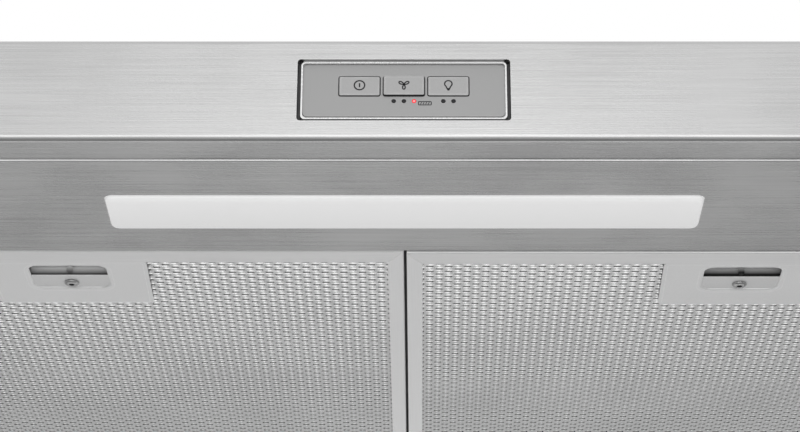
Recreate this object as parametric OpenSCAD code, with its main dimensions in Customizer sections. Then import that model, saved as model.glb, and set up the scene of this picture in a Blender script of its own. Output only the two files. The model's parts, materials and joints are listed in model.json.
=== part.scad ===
// Under cabinet range hood: a folded steel canopy with a twin blower, a light and two hinged grease filters.
// +Z is up, the front faces -Y and the wall side faces +Y. The origin is on the top face, at the centre
// of the four cabinet screws.

/* [Hood] */
// Overall width, side to side
hood_w = 759; // [745:1:780]
// Overall depth, front band to wall
hood_d = 500; // [495:1:520]
// Height, cabinet to folded lip
hood_h = 140; // [140:1:150]
// Height of the upright front band
front_h = 53; // [50:1:56]
// Depth of the flat top, wall to sloping visor
flat_d = 325; // [315:1:335]
// Thickness of the sheet metal
sheet = 1; // [0.8:0.1:1]

/* [Underside] */
// Depth of the folded lip that shows in front of the light panel
lip_d = 20.6; // [18:0.1:24]
// Depth of the light panel
light_d = 98.4; // [96:0.1:102]
// Length of the lens, side to side
lens_w = 293; // [270:1:296]
// Depth of the lens, front to back
lens_d = 36; // [30:0.1:36.5]
// How far the lens stands below the light panel
lens_proud = 1.6; // [0.5:0.1:2]

/* [Controls] */
// Width of the pressed pocket in the front band
pocket_w = 100.7; // [100:0.1:104]
// Height of the pressed pocket
pocket_h = 32.9; // [32.8:0.1:34]
// Width of one button
button_w = 19.6; // [18:0.1:19.8]
// Height of one button
button_h = 10.6; // [9:0.1:11]
// Distance between button centres
button_pitch = 21; // [20.8:0.1:22]
// Travel of a button
button_travel = 1; // [0.6:0.1:1]

/* [Filters] */
// Width of one filter
filter_w = 350; // [345:0.5:353]
// Length of one filter, front to back
filter_l = 350; // [340:1:350]
// Thickness of a filter
filter_t = 9; // [9:0.5:10]
// Width of the filter frame at its sides
frame_side = 8.3; // [7:0.1:10]
// Width of the filter frame at its front and rear
frame_end = 13; // [9:0.1:14]
// Gap between the two filters
filter_gap = 1.5; // [1:0.1:2]
// How far the left filter hangs below the light panel
sag_left = 0.4; // [0:0.1:1]
// How far the right filter hangs below the light panel
sag_right = 1.4; // [0:0.1:1.6]
// Travel of a latch
latch_travel = 4.5; // [4:0.1:4.5]

/* [Blower] */
// Outer radius of a fan wheel
wheel_r = 40; // [36:1:40]
// Number of blades on a fan wheel
blade_count = 30; // [18:1:36]
// Outer width of the duct collar, side to side
collar_w = 254; // [250:1:254]
// Outer depth of the duct collar, front to back
collar_d = 82.5; // [80:0.5:82.5]
// Height of the duct collar above the top panel
collar_h = 38; // [30:1:45]

/* [Fastening] */
// Distance between cabinet screws, side to side
screw_dx = 690; // [680:1:700]
// Distance between cabinet screws, front to back
screw_dy = 230; // [220:1:240]
// Radius of a cabinet screw slot
slot_r = 2.8; // [2.5:0.1:3.2]
// Length of a cabinet screw slot
slot_l = 14; // [12:1:18]
// Radius of the conduit knockout
knockout_r = 11.1; // [10:0.1:14]

/* [Hidden] */
$fn = 48;
gap = 0.3;

// Planes of the canopy
half_w = hood_w / 2;
y_back = 150;
y_front = y_back - hood_d;
y_flat = y_back - flat_d;
z_lip = -hood_h;
z_rim = z_lip - sheet;
z_band = z_lip + front_h;
slope = atan2(-sheet - z_band, y_flat - y_front);
bend_r = 2.8;
lip_lap = 12;
flat_lap = 15;

// Light panel and filters along the depth
y_light = y_front + lip_d;
y_light_end = y_light + light_d;
y_filter = y_light_end + 1;
y_filter_end = y_filter + filter_l;
y_rail = y_filter_end + 1.5;
x_rail = filter_gap / 2 + filter_w + 0.6;
y_lens = y_front + 74.5;
z_lens = z_rim - lens_proud;
flange_h = 20;
rim_h = 12;

// Control pocket; depths are measured back from the front band
z_pocket = z_lip + 26.6;
pocket_wall = 6;
z_tray = z_pocket + 0.45;
tray_w = 97.3;
tray_h = 30.9;
tray_lip = 0.8;
tray_lip_y = y_front + 1.5;
tray_y = y_front + 3.5;
slab_y = y_front + 8;
tray_back = y_front + 24;
housing_w = 108;
housing_h = 40;
face_w = 95.2;
face_h = 27.8;
z_face = z_tray + 0.45;
face_y = y_front + 2.5;
z_button = z_face + 2.3;
button_y = y_front + 2.1;
fan_button_y = y_front + 1.4;
board_y = y_front + 14;
dot_r = 0.85;
z_dot = z_button - 7.95;
dot_pitch = 4.8;
dark_dots = [-dot_pitch, 0, button_pitch - dot_pitch / 2, button_pitch + dot_pitch / 2];
red_dot = dot_pitch;

// Lamp tray, its LEDs and their driver
lamp_w = 306;
lamp_d = 45;
lamp_h = 16;
led_pitch = 22;
led_top = lamp_h - 2.6;
driver_x0 = -282;
driver_x1 = -190;
driver_y0 = -300;
driver_y1 = -266;
driver_h = 22;
driver_foot = 8;
lead_x = -146;

// Filters
x_filter = filter_gap / 2 + filter_w / 2;
channel = 0.8;
z_left = z_rim - sag_left;
z_right = z_rim - sag_right;
tab_x = 95;
tab_w = 20;
tab_l = 9;
mesh_t = 0.6;
layer_t = 0.3;
layers = 4;

// Latch, measured from the filter's front edge
latch_front = frame_end;
latch_rear = 64;
window_w = 41;
window_y0 = y_filter + 16.6;
window_y1 = y_filter + 43;
rivet_y = y_filter + 37.4;
rivet_r = 1.8;
rivet_head_r = 3.85;
cup_w = 62;
cup_rear = y_filter + 62.5;
roof_z = filter_t - 1.8;
slider_z = channel + gap;
slider_t = 1.2;
slider_rear = y_filter + 49;
handle_y = y_filter + 29;
bolt_w = 18;
bolt_z = 3.2;
bolt_t = 2;
bolt_out = 5.2;

// Blower
y_shaft = 43;
z_shaft = -58;
shaft_r = 4;
scroll_wall = 1.2;
scroll_x0 = 47;
scroll_x1 = 125;
scroll_r0 = wheel_r + 3;
tongue_y = -4.5;
tongue_a = 96;
scroll_r1 = collar_d - 2 * sheet + tongue_y;
outlet_w = scroll_x1 - scroll_x0 - 2 * scroll_wall;
outlet_z = -sheet - z_shaft;
inlet_r = 33;
blade_r = 32;
motor_r = 36;
motor_x = 36;
bearing_x0 = 34;
bearing_x1 = 42;
bearing_r = 9;
rotor_r = 20;
y_collar = y_shaft + (scroll_r1 + tongue_y) / 2;
flap_z = 6;
pin_r = 1.5;
pin_y = y_collar + collar_d / 2 - sheet - 3.4;
pin_z = flap_z + 0.4;

// Junction box and wiring
box_x0 = 250;
box_x1 = 340;
box_y0 = 60;
box_y1 = 140;
box_h = 48;
knockout_x = 295;
knockout_y = 105;

// Lowest and highest corner of a box
module box(lo, hi) {
    translate(lo) cube(hi - lo);
}

// An outline drawn in Y and Z, swept from x0 to x1
module along_x(x0, x1) {
    translate([x0, 0, 0]) rotate([90, 0, 90]) linear_extrude(x1 - x0) children();
}

// An outline drawn in X and Z, swept from y0 to y1
module along_y(y0, y1) {
    translate([0, y1, 0]) rotate([90, 0, 0]) linear_extrude(y1 - y0) children();
}

// An outline drawn in X and Y, swept from z0 to z1
module along_z(z0, z1) {
    translate([0, 0, z0]) linear_extrude(z1 - z0) children();
}

module mirrored() {
    mirror([1, 0, 0]) children();
}

// A rectangle about the origin with round corners
module round_rect(w, h, r) {
    square([w - 2 * r, h], center = true);
    square([w, h - 2 * r], center = true);
    for (x = [-1, 1], y = [-1, 1]) {
        translate([x * (w / 2 - r), y * (h / 2 - r)]) circle(r);
    }
}

// A slot about the origin, along X
module slot(l, r) {
    square([l - 2 * r, 2 * r], center = true);
    for (x = [-1, 1]) {
        translate([x * (l / 2 - r), 0]) circle(r);
    }
}

// A rod from point a to point b
module rod(a, b, r) {
    d = b - a;
    l = norm(d);
    turn = acos(d[2] / l);
    heading = atan2(d[1], d[0]);
    translate(a) rotate([0, turn, heading]) cylinder(h = l, r = r);
}

function unit(v) = v / norm(v);

// Route through the points p, with each inner corner eased into a curve that starts a distance d from it
function eased(p, d) = concat(
    [p[0]],
    [for (i = [1 : len(p) - 2])
        let (a = p[i] + d * unit(p[i - 1] - p[i]), b = p[i] + d * unit(p[i + 1] - p[i]))
        for (t = [0 : 0.25 : 1]) (1 - t) * (1 - t) * a + 2 * t * (1 - t) * p[i] + t * t * b],
    [p[len(p) - 1]]
);

// Ring of eight points about point i of a route; no part of a wire runs along the vector it is squared to
function wire_ring(p, i, r) =
    let (t = unit(p[min(i + 1, len(p) - 1)] - p[max(i - 1, 0)]))
    let (u = unit(cross(t, [1, -1, 1])), v = cross(t, u))
    [for (a = [0 : 45 : 315]) p[i] + r * (cos(a) * u + sin(a) * v)];

// A wire of radius r through the points, whose bends start a distance d from each corner
module wire(points, r, d) {
    p = eased(points, d);
    n = len(p) - 1;
    rings = [for (i = [0 : n]) each wire_ring(p, i, r)];
    sides = [for (i = [0 : n - 1], k = [0 : 7])
        [8 * i + k, 8 * i + 8 + k, 8 * i + 8 + (k + 1) % 8, 8 * i + (k + 1) % 8]];
    polyhedron(rings, concat(sides, [[for (k = [0 : 7]) k]], [[for (k = [7 : -1 : 0]) 8 * n + k]]));
}

// A pan head screw at p whose shank runs along +Z of its own frame
module screw(p, tilt, shank = 5) {
    translate(p) rotate(tilt) {
        cylinder(h = shank, r = 1.6);
        difference() {
            translate([0, 0, -1.9]) cylinder(h = 1.9, r = 3.2);
            translate([0, 0, -2]) cube([3.4, 0.8, 1.6], center = true);
            translate([0, 0, -2]) cube([0.8, 3.4, 1.6], center = true);
        }
    }
}

function heading(a) = [cos(a), sin(a)];

// Corner of a sheet that turns clockwise at p, drawn at radius r about the centre of a bend of radius path_r
function bend(p, a_in, a_out, path_r, r, steps = 6) =
    let (c = p - path_r * tan((a_in - a_out) / 2) * heading(a_in) + path_r * heading(a_in - 90))
    [for (i = [0 : steps]) c + r * heading(a_in + 90 + (a_out - a_in) * i / steps)];

function backwards(list) = [for (i = [len(list) - 1 : -1 : 0]) list[i]];

// Outer or inner face of the canopy sheet, in Y and Z; inset is 0 outside and the sheet's thickness inside
function canopy_line(inset) = concat(
    [[y_light + lip_lap, z_lip + inset]],
    bend([y_front, z_lip], 180, 90, bend_r, bend_r - inset),
    bend([y_front, z_band], 90, slope, bend_r, bend_r - inset),
    bend([y_flat, -sheet], slope, 0, bend_r, bend_r - inset),
    [[y_flat + flat_lap, -sheet - inset]]
);

// Inner face of the sloping visor at depth y, less a clearance
function under_visor(y, clear) = z_band + (y - y_front) * tan(slope) - (sheet + clear) / cos(slope);

// Places of the small screws
collar_screws = [for (x = [-1, 1], y = [-1, 1]) [x * (collar_w / 2 + 6), y_collar + y * 30, 1]];
blank_screws = [for (x = [-1, 1]) [x * 131, y_back - 2, -59]];
cover_screw = [box_x0 + 6, 100, -box_h - 1];

// ---- Canopy ----

module pocket_outline(grow) {
    translate([0, z_pocket]) round_rect(pocket_w + 2 * grow, pocket_h + 2 * grow, 1.6 + grow);
}

module canopy_front() {
    color("silver") difference() {
        union() {
            along_x(-half_w, half_w) polygon(concat(canopy_line(0), backwards(canopy_line(sheet))));
            along_y(y_front, y_front + pocket_wall) pocket_outline(sheet);
        }
        along_y(y_front - 1, y_front + pocket_wall + 1) pocket_outline(0);
    }
}

module top_panel() {
    color("silver") difference() {
        box([-half_w, y_flat, -sheet], [half_w, y_back, 0]);
        for (x = [-1, 1], y = [-1, 1]) {
            translate([x * screw_dx / 2, y * screw_dy / 2, 0]) along_z(-2, 1) slot(slot_l, slot_r);
        }
        for (x = [scroll_x0 + scroll_wall, -scroll_x1 + scroll_wall]) {
            box([x, y_shaft + tongue_y, -2], [x + outlet_w, y_shaft + scroll_r1, 1]);
        }
        translate([knockout_x, knockout_y, -2]) cylinder(h = 3, r = knockout_r);
        for (p = collar_screws) {
            translate([p[0], p[1], -2]) cylinder(h = 3, r = 1.7);
        }
    }
}

module back_panel() {
    color("silver") difference() {
        box([-half_w + sheet, y_back - sheet, z_lip], [half_w - sheet, y_back, -sheet]);
        box([-125, y_back - 2, -98], [125, y_back + 1, -20]);
        for (p = blank_screws) {
            translate([p[0], y_back - 3, p[2]]) rotate([-90, 0, 0]) cylinder(h = 4, r = 1.7);
        }
    }
}

module rear_duct_blank() {
    color("lightgray") difference() {
        box([-136, y_back - 2 * sheet, -106], [136, y_back - sheet, -12]);
        for (p = blank_screws) {
            translate([p[0], y_back - 3, p[2]]) rotate([-90, 0, 0]) cylinder(h = 4, r = 1.7);
        }
    }
}

module side_panel() {
    c = 0.1;
    y0 = y_front + sheet + c;
    along_x(half_w - sheet, half_w) polygon([
        [y_front + 4, z_lip + sheet + c],
        [y0, z_lip + 4],
        [y0, z_band - 3],
        [y_front + 4, under_visor(y_front + 4, c)],
        [y_flat, -2 * sheet - 2 * c],
        [y_flat + flat_lap + c, -2 * sheet - c],
        [y_flat + flat_lap + c, -sheet],
        [y_back, -sheet],
        [y_back, z_lip],
        [y_light + lip_lap + c, z_lip],
        [y_light + lip_lap + c, z_lip + sheet + c]
    ]);
}

module side_panel_right() {
    color("silver") side_panel();
}

module side_panel_left() {
    color("silver") mirrored() side_panel();
}

// Window in the light panel's rear flange for a latch bolt; z is the filter's underside
module bolt_window(x, z) {
    box([x - bolt_w / 2 - 0.6, y_light_end - 2, z + bolt_z - 0.5],
        [x + bolt_w / 2 + 0.6, y_light_end + 1, z + bolt_z + bolt_t + 0.5]);
}

module light_panel() {
    color("darkgray") difference() {
        union() {
            box([-half_w, y_light, z_rim], [half_w, y_light_end, z_lip]);
            box([-half_w + 6, y_light_end - sheet, z_rim], [half_w - 6, y_light_end, z_lip + flange_h]);
        }
        translate([0, y_lens, 0]) along_z(z_rim - 1, z_lip + 1) round_rect(lens_w + 0.6, lens_d + 0.6, 4);
        bolt_window(-x_filter, z_left);
        bolt_window(x_filter, z_right);
    }
}

module side_rail() {
    box([x_rail, y_light_end, z_rim], [half_w, y_rail, z_lip]);
    box([x_rail, y_light_end, z_rim], [x_rail + sheet, y_rail, z_lip + rim_h]);
}

module side_rail_right() {
    color("silver") side_rail();
}

module side_rail_left() {
    color("silver") mirrored() side_rail();
}

// Notch in the rear rail's flange for one filter tab; z is the tab's underside
module tab_notch(x, z) {
    w = tab_w / 2 + 1.5;
    box([x - w, y_rail - 1, z - 0.6], [x + w, y_rail + sheet + 1, z_lip + rim_h + 1]);
}

module rear_rail() {
    color("silver") difference() {
        union() {
            box([-half_w, y_rail, z_rim], [half_w, y_back, z_lip]);
            box([-half_w + 6, y_rail, z_rim], [half_w - 6, y_rail + sheet, z_lip + rim_h]);
        }
        for (x = [-tab_x, tab_x]) {
            tab_notch(-x_filter + x, z_left + filter_t - channel);
            tab_notch(x_filter + x, z_right + filter_t - channel);
        }
    }
}

module centre_divider() {
    color("silver") difference() {
        box([-14, y_light_end, z_lip + 9.5], [14, y_rail, z_lip + rim_h + 9.5]);
        box([-14 + sheet, y_light_end - 1, z_lip + 9.5 + sheet], [14 - sheet, y_rail + 1, z_lip + rim_h + 11]);
    }
}

module panel_screws() {
    color("gray") {
        for (p = collar_screws) {
            screw(p, [180, 0, 0]);
        }
        for (p = blank_screws) {
            screw(p, [-90, 0, 0], 2);
        }
        screw(cover_screw, [0, 0, 0]);
    }
}

// ---- Controls ----

// Windows for the buttons and holes for the indicators, from y0 to y1
module control_openings(y0, y1) {
    along_y(y0, y1) {
        for (i = [-1, 0, 1]) {
            translate([i * button_pitch, z_button]) square([button_w + 0.5, button_h + 0.5], center = true);
        }
        for (x = dark_dots) {
            translate([x, z_dot]) circle(dot_r + 0.05);
        }
        translate([red_dot, z_dot]) circle(dot_r + 0.05);
    }
}

module control_tray() {
    color("gainsboro") difference() {
        union() {
            along_y(tray_y, slab_y) translate([0, z_tray]) round_rect(tray_w, tray_h, 2.2);
            along_y(tray_lip_y, slab_y) translate([0, z_tray]) difference() {
                round_rect(tray_w, tray_h, 2.2);
                round_rect(tray_w - 2 * tray_lip, tray_h - 2 * tray_lip, 1.4);
            }
            along_y(y_front + pocket_wall + gap, slab_y) translate([0, z_tray]) round_rect(housing_w + 4, housing_h + 1, 3);
            along_y(slab_y, tray_back) translate([0, z_tray]) round_rect(housing_w, housing_h, 2);
        }
        box([1.6 - housing_w / 2, slab_y, z_tray + 1.6 - housing_h / 2],
            [housing_w / 2 - 1.6, tray_back + 1, z_tray + housing_h / 2 - 1.6]);
        control_openings(y_front, slab_y + 1);
    }
}

module control_face() {
    color("darkgray") difference() {
        along_y(face_y, tray_y) translate([0, z_face]) round_rect(face_w, face_h, 2);
        control_openings(y_front, slab_y);
    }
}

module control_board() {
    color("darkgreen") box([-50, board_y, z_tray - 17], [50, board_y + 1.6, z_tray + 17]);
}

module tact_switches() {
    color("dimgray") for (i = [-1, 0, 1]) {
        translate([i * button_pitch, 0, z_button]) {
            box([-3, board_y - 3, -3], [3, board_y, 3]);
            rod([0, board_y - 3.7, 0], [0, board_y - 3, 0], 1.7);
        }
    }
}

module indicator_lenses() {
    color("black") for (x = dark_dots) {
        rod([x, face_y - 0.1, z_dot], [x, board_y, z_dot], dot_r);
    }
}

module filter_indicator() {
    color("red") rod([red_dot, face_y - 0.1, z_dot], [red_dot, board_y, z_dot], dot_r);
}

// One button, whose face is at y; it is retained behind the slab by a wider foot
module button(i, y) {
    translate([i * button_pitch, 0, z_button]) {
        along_y(y, slab_y + 0.4) round_rect(button_w, button_h, 0.6);
        box([-button_w / 2, slab_y + 0.2, -6.2], [button_w / 2, slab_y + 1, 6.2]);
        rod([0, slab_y + 1, 0], [0, board_y - 3.8 - button_travel, 0], 2);
    }
}

module button_power() {
    color("darkgray") button(-1, button_y);
}

module button_fan() {
    color("darkgray") button(0, fan_button_y);
}

module button_light() {
    color("darkgray") button(1, button_y);
}

// ---- Light ----

module light_lens() {
    color("white") translate([0, y_lens, 0]) {
        hull() {
            along_z(z_lens, z_lens + 0.05) round_rect(lens_w - 4, lens_d - 4, 2.6, $fn = 32);
            along_z(z_rim - 0.05, z_rim) round_rect(lens_w, lens_d, 3.8, $fn = 32);
        }
        along_z(z_rim, z_lip) round_rect(lens_w, lens_d, 3.8);
        along_z(z_lip, z_lip + 1.5) round_rect(lens_w + 8, lens_d + 6, 4);
    }
}

module lamp_tray() {
    color("lightgray") translate([0, y_lens, z_lip]) difference() {
        box([-lamp_w / 2, -lamp_d / 2, 0], [lamp_w / 2, lamp_d / 2, lamp_h]);
        box([1 - lamp_w / 2, 1 - lamp_d / 2, -1], [lamp_w / 2 - 1, lamp_d / 2 - 1, lamp_h - 1]);
        translate([lead_x, 0, lamp_h - 6]) cylinder(h = 10, r = 3);
    }
}

module led_board() {
    color("white") translate([0, y_lens, z_lip]) {
        box([lead_x + 10, -12, led_top], [140, 12, lamp_h - 1]);
        for (x = [-5.5 * led_pitch : led_pitch : 5.5 * led_pitch]) {
            box([x - 1.8, -1.4, led_top - 0.8], [x + 1.8, 1.4, led_top]);
        }
    }
}

module led_driver() {
    color("whitesmoke") difference() {
        union() {
            box([driver_x0, driver_y0, z_lip], [driver_x1, driver_y1, z_lip + driver_h]);
            box([driver_x0 - driver_foot, driver_y0, z_lip], [driver_x1 + driver_foot, driver_y1, z_lip + 3]);
        }
        for (x = [driver_x0 - driver_foot / 2, driver_x1 + driver_foot / 2]) {
            translate([x, (driver_y0 + driver_y1) / 2, z_lip - 1]) cylinder(h = 5, r = 1.7);
        }
    }
}

// ---- Blower, drawn about the shaft and then lifted to it ----

module at_shaft() {
    translate([0, y_shaft, z_shaft]) children();
}

function scroll_r(a) = scroll_r0 + (scroll_r1 - scroll_r0) * (a - tongue_a) / (360 - tongue_a);

// Spiral that opens from the tongue, round the front and underneath, into the outlet at the rear
module scroll_outline(grow) {
    polygon(concat(
        [for (a = [tongue_a : 12 : 360]) (scroll_r(a) + grow) * heading(a)],
        [[scroll_r1 + grow, outlet_z], [tongue_y - grow, outlet_z]]
    ));
}

module blower_housing() {
    at_shaft() difference() {
        along_x(scroll_x0, scroll_x1) scroll_outline(scroll_wall);
        along_x(scroll_x0 + scroll_wall, scroll_x1 - scroll_wall) scroll_outline(0);
        translate([scroll_x0 + scroll_wall, 0, 0]) box([0, tongue_y, outlet_z - 1], [outlet_w, scroll_r1, outlet_z + 1]);
        rod([scroll_x0 - 1, 0, 0], [scroll_x0 + 5, 0, 0], 14);
        rod([scroll_x1 - 5, 0, 0], [scroll_x1 + 1, 0, 0], inlet_r + 4);
    }
}

module blower_housing_right() {
    color("slategray") blower_housing();
}

module blower_housing_left() {
    color("slategray") mirrored() blower_housing();
}

// Bell mouth that guides air into the wheel
module inlet_ring() {
    at_shaft() translate([scroll_x1 - 6.8, 0, 0]) rotate([0, 90, 0]) rotate_extrude() {
        translate([inlet_r - 2, 0]) square([1.2, 2]);
        difference() {
            translate([inlet_r + 4, 2]) circle(6);
            translate([inlet_r + 4, 2]) circle(4.8);
            translate([inlet_r - 4, -6]) square([20, 8]);
            translate([inlet_r + 4, -6]) square([20, 20]);
        }
        translate([inlet_r + 3.9, 6.8]) square([5, 1.2]);
    }
}

module inlet_ring_right() {
    color("silver") inlet_ring();
}

module inlet_ring_left() {
    color("silver") mirrored() inlet_ring();
}

// Forward curved blades between a hub disc and an end ring
module fan_wheel() {
    at_shaft() difference() {
        union() {
            rod([55, 0, 0], [56.5, 0, 0], wheel_r);
            rod([49, 0, 0], [57, 0, 0], 9);
            difference() {
                rod([113, 0, 0], [115, 0, 0], wheel_r);
                rod([112, 0, 0], [116, 0, 0], blade_r + 2);
            }
            for (i = [0 : blade_count - 1]) {
                rotate([i * 360 / blade_count, 0, 0]) translate([56, blade_r + 3.6, 0]) rotate([25, 0, 0])
                    translate([0, -3.8, -0.4]) cube([58, 7.6, 0.8]);
            }
        }
        rod([40, 0, 0], [60, 0, 0], shaft_r);
    }
}

module fan_wheel_right() {
    color("dimgray") fan_wheel();
}

module fan_wheel_left() {
    color("dimgray") mirrored() fan_wheel();
}

// Shaft with the motor's laminated rotor on it
module motor_shaft() {
    color("silver") at_shaft() {
        rod([-58, 0, 0], [58, 0, 0], shaft_r);
        rod([-20, 0, 0], [20, 0, 0], rotor_r);
    }
}

// Case with its stator, hollow for the rotor, and a seat for a bearing at each end
module motor_case() {
    color("gray") at_shaft() difference() {
        union() {
            rod([-motor_x + 6, 0, 0], [motor_x - 6, 0, 0], motor_r);
            rod([-motor_x, 0, 0], [motor_x, 0, 0], motor_r - 4);
            rod([-bearing_x1, 0, 0], [bearing_x1, 0, 0], bearing_r + 3);
        }
        rod([-26, 0, 0], [26, 0, 0], rotor_r + 0.6);
        rod([-50, 0, 0], [50, 0, 0], bearing_r);
    }
}

module motor_bearings() {
    color("silver") at_shaft() for (x = [-bearing_x1, bearing_x0]) {
        difference() {
            rod([x, 0, 0], [x + bearing_x1 - bearing_x0, 0, 0], bearing_r);
            rod([x - 1, 0, 0], [x + 9, 0, 0], shaft_r + 0.05);
        }
    }
}

// Two clamp rings that hang the motor from the top panel
module motor_bracket() {
    color("lightgray") at_shaft() {
        for (x = [-24, 22]) {
            difference() {
                union() {
                    rod([x, 0, 0], [x + 2, 0, 0], motor_r + 4);
                    box([x, -30, 0], [x + 2, 30, outlet_z - 2]);
                }
                rod([x - 1, 0, 0], [x + 3, 0, 0], motor_r);
            }
        }
        box([-34, -32, outlet_z - 2], [34, 32, outlet_z]);
    }
}

module run_capacitor() {
    color("ivory") {
        rod([-64, -50, -22], [-20, -50, -22], 14);
        box([-52, -52, -10], [-32, -48, -sheet]);
    }
}

// ---- Duct ----

module duct_collar() {
    color("silver") translate([0, y_collar, 0]) difference() {
        union() {
            box([-collar_w / 2, -collar_d / 2, 0], [collar_w / 2, collar_d / 2, collar_h]);
            box([-collar_w / 2 - 12, -collar_d / 2, 0], [collar_w / 2 + 12, collar_d / 2, sheet]);
        }
        box([-collar_w / 2 + sheet, -collar_d / 2 + sheet, -1],
            [collar_w / 2 - sheet, collar_d / 2 - sheet, collar_h + 1]);
        translate([0, pin_y - y_collar, pin_z]) rod([-200, 0, 0], [200, 0, 0], pin_r + 0.06);
        for (p = collar_screws) {
            translate([p[0], p[1] - y_collar, -1]) cylinder(h = 3, r = 1.7);
        }
    }
    color("silver") translate([0, y_collar, 0]) {
        box([-collar_w / 2 + sheet, -collar_d / 2 + sheet, 4], [collar_w / 2 - sheet, -collar_d / 2 + 4, 5]);
    }
}

module damper_pin() {
    color("silver") rod([-collar_w / 2, pin_y, pin_z], [collar_w / 2, pin_y, pin_z], pin_r);
}

// Flap whose rear edge is curled round the pin; it closes on the collar's ledge under its own weight
module damper_flap() {
    color("silver") difference() {
        union() {
            box([-124.5, y_collar - collar_d / 2 + 1.8, flap_z], [124.5, pin_y, flap_z + 0.8]);
            rod([-124.5, pin_y, pin_z], [124.5, pin_y, pin_z], 2.4);
        }
        rod([-130, pin_y, pin_z], [130, pin_y, pin_z], pin_r);
    }
}

// ---- Wiring ----

module junction_box() {
    color("lightgray") difference() {
        box([box_x0, box_y0, -box_h], [box_x1, box_y1, -sheet]);
        box([box_x0 + 1, box_y0 + 1, -box_h - 1], [box_x1 - 1, box_y1 - 1, 1]);
        rod([box_x0 - 1, 100, -24], [box_x0 + 2, 100, -24], 4);
    }
    color("lightgray") difference() {
        box([box_x0 + 1, 92, -box_h], [box_x0 + 12, 108, -box_h + 1]);
        translate([cover_screw[0], 100, -box_h - 1]) cylinder(h = 3, r = 1.7);
    }
}

module junction_cover() {
    color("lightgray") difference() {
        box([box_x0 - 3, box_y0 - 3, -box_h - 1], [box_x1 + 3, box_y1 + 3, -box_h]);
        translate([cover_screw[0], 100, -box_h - 2]) cylinder(h = 3, r = 1.7);
    }
}

module terminal_block() {
    color("white") difference() {
        box([300, 76, -box_h], [336, 92, -box_h + 14]);
        for (x = [308, 318, 328]) {
            translate([x, 84, -box_h + 6]) cylinder(h = 9, r = 2.5);
        }
    }
}

module ground_screw() {
    color("green") {
        rod([300, 130, -box_h], [300, 130, -box_h + 9], 2);
        rod([300, 130, -box_h + 6], [300, 130, -box_h + 8.5], 4);
    }
}

// Point at a distance r from the shaft, up and forward of it
function off_shaft(r) = [0, y_shaft - r * cos(23), z_shaft + r * sin(23)];

// Main lead from the junction box, along the top and down to the control board. Branches feed the motor and the
// LED driver, and a short lead joins the driver to the LED board.
module wiring_harness() {
    fork = [60, -280, -60];
    driver_top = z_lip + driver_h;
    board_back = board_y + 1.6;
    lead_y = y_lens;
    color("black") {
        wire([[box_x0 + 4, 100, -24], [228, 100, -24], [205, 60, -5], [205, -150, -5], [60, -170, -8],
              fork, [40, board_back + 14, -104], [40, board_back, -104]], 2.5, 6);
        wire([[205, 0, -5], [60, -20, -5], [0, -20, -22], off_shaft(motor_r + 20), off_shaft(motor_r)], 2, 8);
        wire([fork, [-150, -255, -98], [-205, -283, -108], [-205, -283, driver_top]], 1.6, 4);
        wire([[driver_x1, lead_y, -128], [driver_x1 + 10, lead_y, -128], [driver_x1 + 22, lead_y, -116],
              [lead_x, lead_y, -116], [lead_x, lead_y, z_lip + lamp_h - 1]], 1.5, 4);
    }
}

// ---- Filters, each drawn about its own centre line with z = 0 at its underside ----

module at_left() {
    translate([-x_filter, 0, z_left]) children();
}

module at_right() {
    translate([x_filter, 0, z_right]) children();
}

// U channel frame with a slot for the bolt and two tabs that hook over the rear rail
module filter_frame() {
    w = filter_w / 2;
    difference() {
        box([-w, y_filter, 0], [w, y_filter_end, filter_t]);
        box([-w + frame_side, y_filter + frame_end, -1],
            [w - frame_side, y_filter_end - frame_end, filter_t + 1]);
        box([-w + channel, y_filter + channel, channel],
            [w - channel, y_filter_end - channel, filter_t - channel]);
        box([-bolt_w / 2 - 0.6, y_filter - 1, bolt_z - 0.5],
            [bolt_w / 2 + 0.6, y_filter + 2, bolt_z + bolt_t + 0.5]);
    }
    for (x = [-tab_x, tab_x]) {
        box([x - tab_w / 2, y_filter_end - 1, filter_t - channel],
            [x + tab_w / 2, y_filter_end + tab_l, filter_t]);
    }
}

// A flat sheet inside the channel, cut out round the latch cup
module filter_sheet(z0, z1) {
    w = filter_w / 2 - channel - 0.2;
    difference() {
        box([-w, y_filter + channel + 0.2, z0], [w, y_filter_end - channel - 0.2, z1]);
        box([-cup_w / 2 - 0.4, y_filter, z0 - 1], [cup_w / 2 + 0.4, cup_rear + 1.4, z1 + 1]);
    }
}

module filter_mesh() {
    filter_sheet(channel, channel + mesh_t);
}

// Layers of finer mesh that fill the channel; the last one is the back of the filter
module filter_pad() {
    step = (filter_t - 2 * channel - mesh_t) / layers;
    for (i = [1 : layers]) {
        z1 = channel + mesh_t + i * step;
        filter_sheet(z1 - layer_t, z1);
    }
}

module latch_outline() {
    front = y_filter + latch_front;
    rear = y_filter + latch_rear;
    polygon([[-42, front], [42, front], [41, rear - 3], [38, rear], [-38, rear], [-41, rear - 3]]);
}

// Plate with a finger window, and a closed cup above it that the slider runs in
module latch_plate() {
    y0 = y_filter + channel;
    window_y = (window_y0 + window_y1) / 2;
    difference() {
        along_z(0, channel) latch_outline();
        translate([0, window_y, 0]) along_z(-1, 2) round_rect(window_w, window_y1 - window_y0, 5);
    }
    difference() {
        box([-cup_w / 2, y0, channel], [cup_w / 2, cup_rear + 1, filter_t - channel]);
        box([-cup_w / 2 + 1, y0 - 1, channel - 1], [cup_w / 2 - 1, cup_rear, roof_z]);
    }
}

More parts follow.
